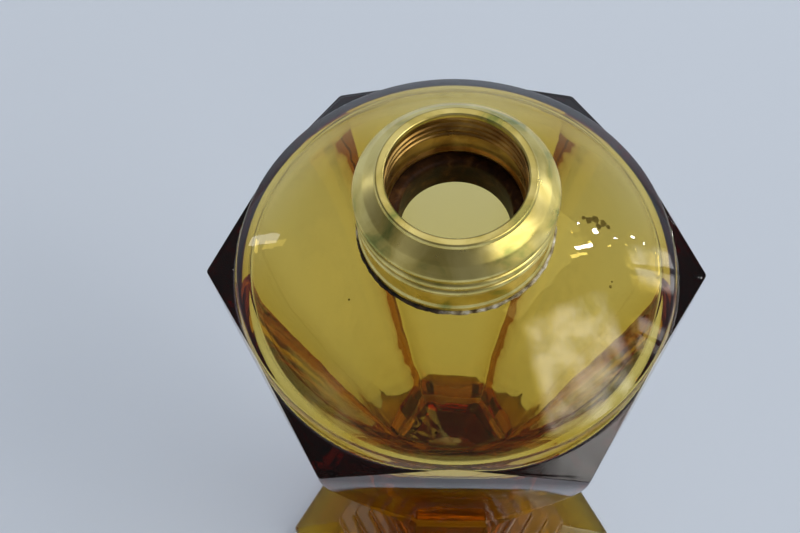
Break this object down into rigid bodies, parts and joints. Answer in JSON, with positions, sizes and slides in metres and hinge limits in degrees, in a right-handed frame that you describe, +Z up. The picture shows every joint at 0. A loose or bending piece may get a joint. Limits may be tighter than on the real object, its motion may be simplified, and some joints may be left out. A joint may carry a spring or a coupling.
{
  "type": "perfume atomiser bottle",
  "caption": "Faceted amber glass scent bottle on a stepped foot, with a threaded brass collar for an atomiser head.",
  "frame": {"origin": "centre of the foot's underside, on the surface the bottle stands on", "axes": "+Z up the axis of the neck; +Y away from the flat side at the front; +X to the right, through two corners of the hexagon"},
  "size_m": [0.058, 0.0502, 0.1254],
  "materials": {
    "amber_glass": "polished cut glass",
    "plaster": "matt, grimy",
    "brass_shell": "worn satin",
    "brass_ferrule": "worn satin"
  },
  "bodies": {
    "root": {"glass_bottle": "amber_glass", "neck_cement": "plaster", "collar_shell": "brass_shell", "threaded_ferrule": "brass_ferrule"}
  },
  "joints": []
}
